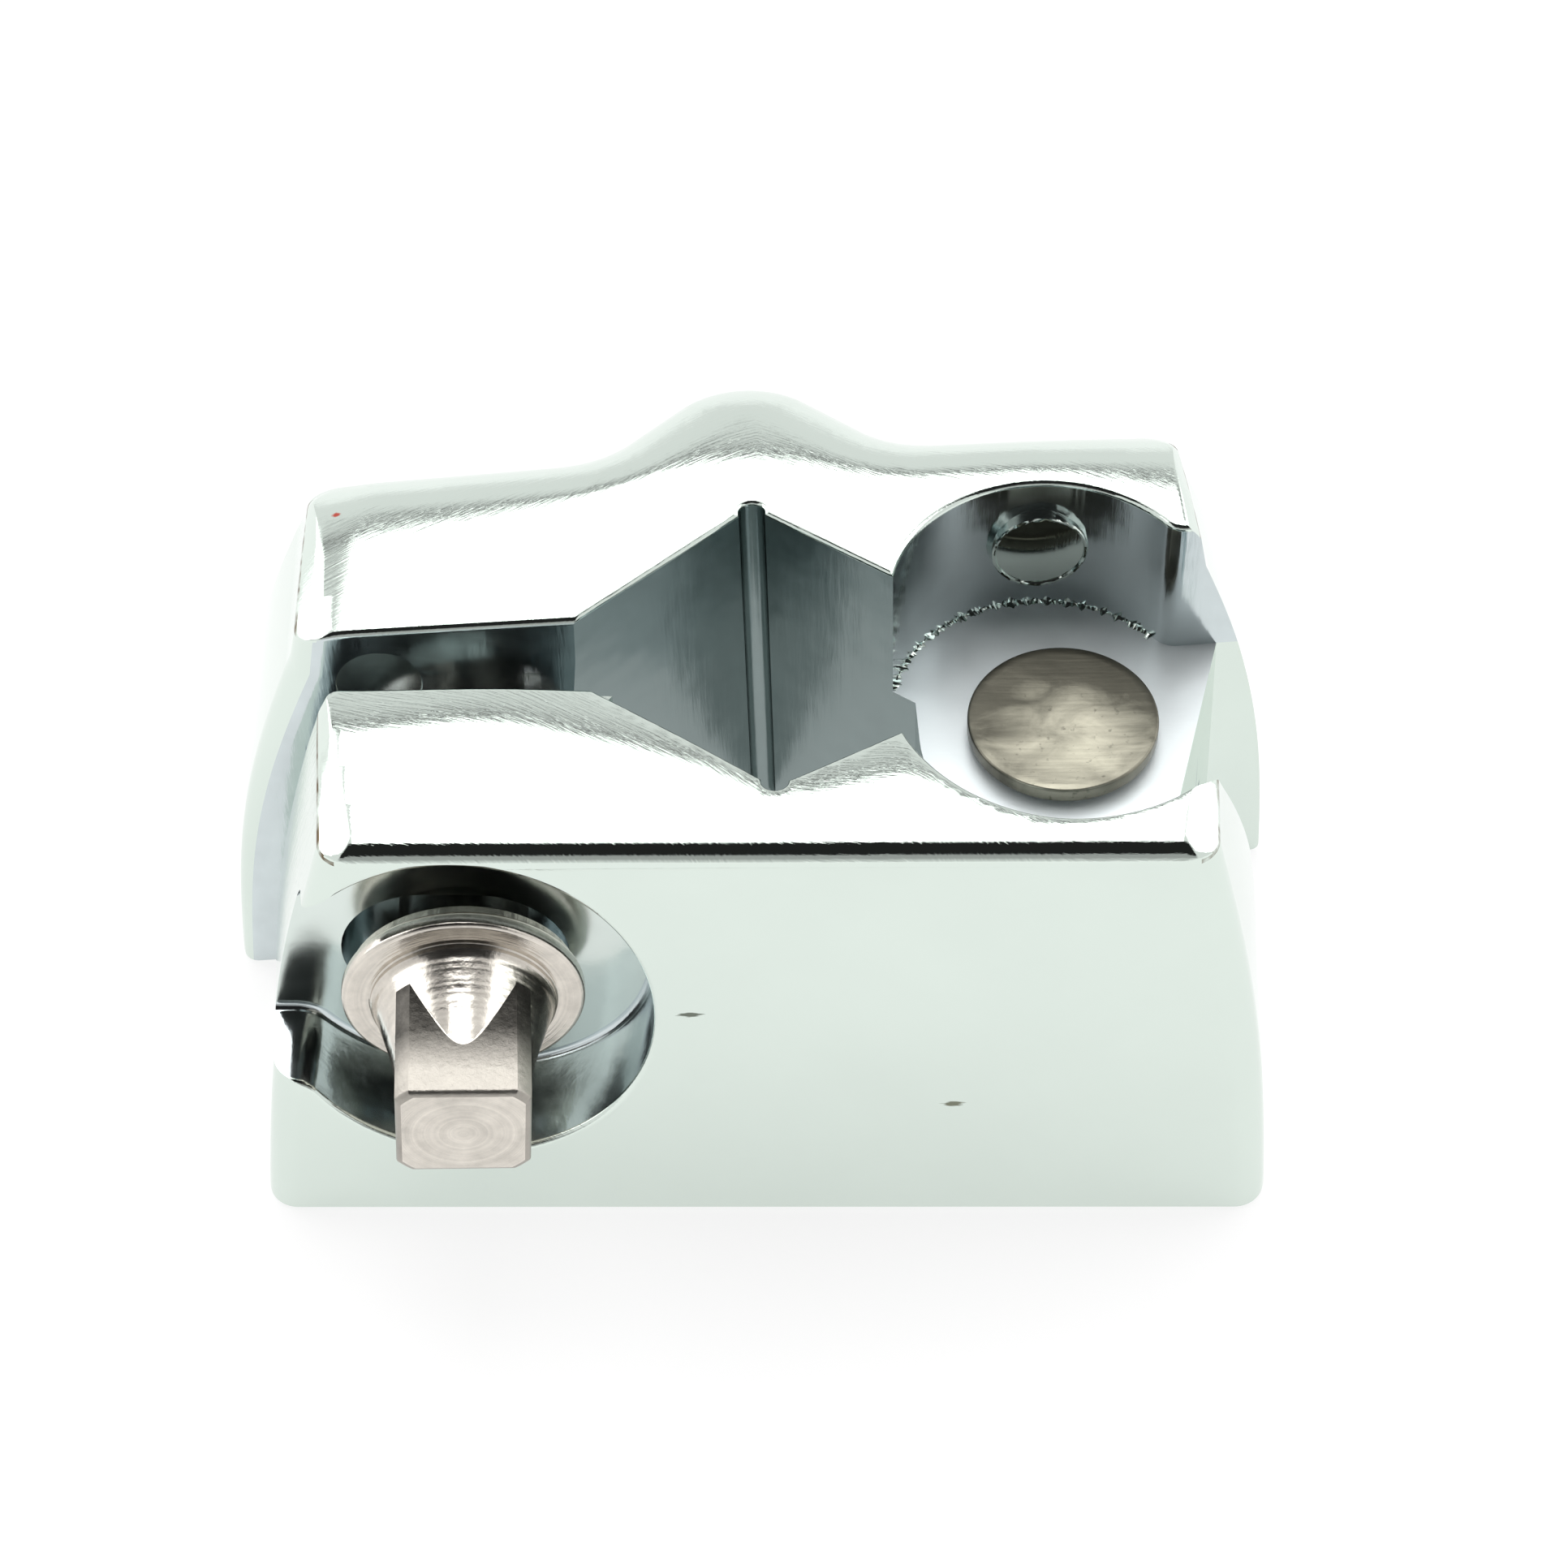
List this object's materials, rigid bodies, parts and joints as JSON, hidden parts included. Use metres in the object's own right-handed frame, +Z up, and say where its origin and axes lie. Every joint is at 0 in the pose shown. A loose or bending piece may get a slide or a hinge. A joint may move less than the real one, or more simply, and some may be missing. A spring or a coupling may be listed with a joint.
{
  "type": "hinged rod clamp",
  "caption": "Chrome-plated hinged clamp whose cast jaws, with facing V notches, grip an upright rod and are drawn together by a square-headed screw.",
  "frame": {"origin": "middle of the clamp's footprint, on the plane it stands on", "axes": "+X along the jaws towards the hinge, +Y from the front jaw to the rear jaw, +Z up along the hinge pin and the rod"},
  "size_m": [0.0506, 0.041, 0.0215],
  "materials": {
    "front_jaw": "polished chrome plate",
    "rear_jaw": "polished chrome plate",
    "hinge_pin": "dull worn plating",
    "clamp_screw": "bright turned steel",
    "screw_washer": "satin"
  },
  "bodies": {
    "front": {"front_jaw": "front_jaw", "hinge_pin": "hinge_pin"},
    "rear": {"rear_jaw": "rear_jaw"},
    "washer": {"screw_washer": "screw_washer"},
    "screw": {"clamp_screw": "clamp_screw"}
  },
  "joints": [
    {"name": "rear_swing", "type": "hinge", "parent": "front", "child": "rear", "pos_m": [0.01491, 0.00105, 0.01], "axis": [0, 0, 1], "range_deg": [-8, 1.4]},
    {"name": "screw_travel", "type": "slide", "parent": "rear", "child": "washer", "axis": [0.0732, -0.9973, 0], "range_m": [-0.0018, 0.004]},
    {"name": "screw_turn", "type": "hinge", "parent": "washer", "child": "screw", "pos_m": [-0.01188, -0.01325, 0.01224], "axis": [0.0732, -0.9973, 0], "range_deg": [-640, 1420]}
  ],
  "couplings": [
    {"joint": "screw_travel", "follows": "rear_swing", "m_per_rad": -0.02777},
    {"joint": "screw_turn", "follows": "rear_swing", "ratio": -174.5}
  ]
}
